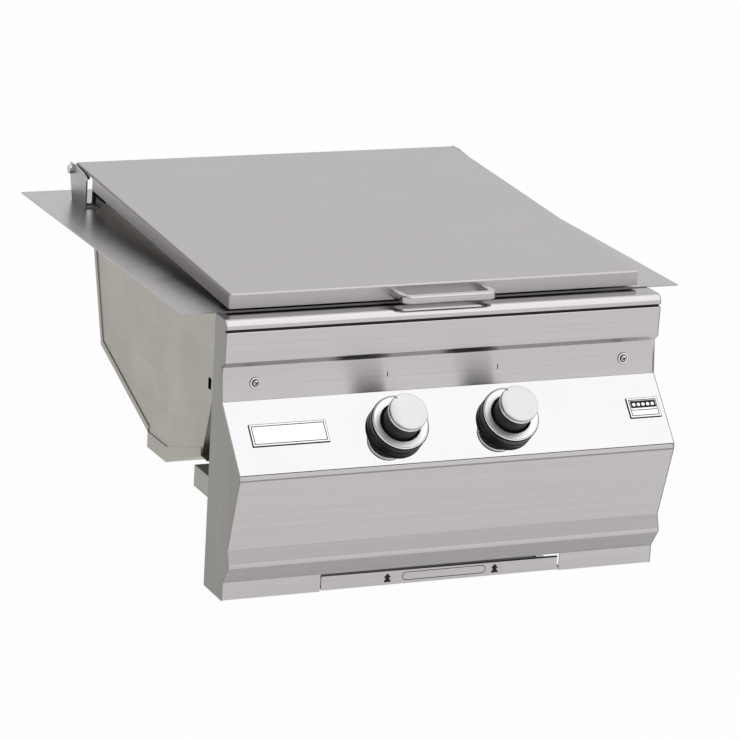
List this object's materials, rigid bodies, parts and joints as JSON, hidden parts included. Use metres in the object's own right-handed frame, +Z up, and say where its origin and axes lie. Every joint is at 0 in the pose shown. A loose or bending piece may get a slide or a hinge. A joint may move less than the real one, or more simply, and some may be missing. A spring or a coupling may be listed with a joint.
{
  "type": "built in double side burner",
  "caption": "Drop-in outdoor gas side burner: hinged lid, counter flange, hanging firebox and a front panel with two knobs and a slide-out tray.",
  "frame": {"origin": "middle of the counter flange's front edge, on its underside, at the level of the counter top", "axes": "+Z up, square to the counter top; +Y towards the back; the front panel and knobs face -Y; +X to the right as seen from the front"},
  "size_m": [0.642, 0.7018, 0.3811],
  "materials": {
    "brushed_stainless": "satin brushed",
    "polished_stainless": "polished",
    "chrome": "polished",
    "zinc_plate": "plated",
    "bare_plate": "satin",
    "cast_grate": "matt enamel",
    "cast_burner": "cast",
    "brass": "turned",
    "rubber": "matt",
    "ceramic": "glazed",
    "gas_pipe": "black",
    "aluminium_tube": "drawn"
  },
  "bodies": {
    "housing": {"counter_flange": "brushed_stainless", "left_firebox_wall": "brushed_stainless", "right_firebox_wall": "brushed_stainless", "firebox_front_wall": "brushed_stainless", "firebox_back_panel": "brushed_stainless", "firebox_bottom_pan": "brushed_stainless", "front_grate_ledge": "brushed_stainless", "rear_grate_ledge": "brushed_stainless", "left_grate": "cast_grate", "right_grate": "cast_grate", "left_hinge_bracket": "brushed_stainless", "right_hinge_bracket": "brushed_stainless", "hinge_bolts": "zinc_plate", "bracket_screws": "zinc_plate", "front_panel": "brushed_stainless", "control_plate": "polished_stainless", "left_cheek": "brushed_stainless", "right_cheek": "brushed_stainless", "fascia_screws": "zinc_plate", "nameplate": "bare_plate", "badge_plate": "bare_plate", "lower_frame": "brushed_stainless", "tray_rails": "zinc_plate", "bezels": "chrome", "valve_bodies": "brass", "manifold_pipe": "gas_pipe", "manifold_cap": "gas_pipe", "manifold_brackets": "zinc_plate", "left_gas_tube": "aluminium_tube", "right_gas_tube": "aluminium_tube", "orifice_elbows": "brass", "left_burner_body": "cast_burner", "right_burner_body": "cast_burner", "burner_caps": "brass", "burner_crossbar": "zinc_plate", "burner_screws": "zinc_plate", "igniters": "ceramic"},
    "lid_assembly": {"lid": "brushed_stainless", "lid_handle": "polished_stainless", "handle_screws": "zinc_plate", "left_lid_ear": "brushed_stainless", "right_lid_ear": "brushed_stainless", "lid_bumpers": "rubber"},
    "left_valve_rotor": {"left_valve_plug": "brass"},
    "left_knob_assembly": {"left_knob": "chrome", "left_knob_cap": "chrome", "left_valve_stem": "brass"},
    "right_valve_rotor": {"right_valve_plug": "brass"},
    "right_knob_assembly": {"right_knob": "chrome", "right_knob_cap": "chrome", "right_valve_stem": "brass"},
    "tray": {"instruction_tray": "brushed_stainless"}
  },
  "joints": [
    {"name": "lid_hinge", "type": "hinge", "parent": "housing", "child": "lid_assembly", "pos_m": [0, 0.546, 0.04], "axis": [-1, 0, 0], "range_deg": [0, 95]},
    {"name": "left_knob_turn", "type": "hinge", "parent": "housing", "child": "left_valve_rotor", "pos_m": [-0.0712, -0.06536, -0.13251], "axis": [0, -0.7254, 0.6884], "range_deg": [0, 210]},
    {"name": "left_knob_push", "type": "slide", "parent": "left_valve_rotor", "child": "left_knob_assembly", "axis": [0, 0.7254, -0.6884], "range_m": [0, 0.003], "stiffness_N_per_m": 1500, "springref_m": -0.006},
    {"name": "right_knob_turn", "type": "hinge", "parent": "housing", "child": "right_valve_rotor", "pos_m": [0.0712, -0.06536, -0.13251], "axis": [0, -0.7254, 0.6884], "range_deg": [0, 210]},
    {"name": "right_knob_push", "type": "slide", "parent": "right_valve_rotor", "child": "right_knob_assembly", "axis": [0, 0.7254, -0.6884], "range_m": [0, 0.003], "stiffness_N_per_m": 1500, "springref_m": -0.006},
    {"name": "tray_slide", "type": "slide", "parent": "housing", "child": "tray", "axis": [0, -1, 0], "range_m": [0, 0.1]}
  ]
}
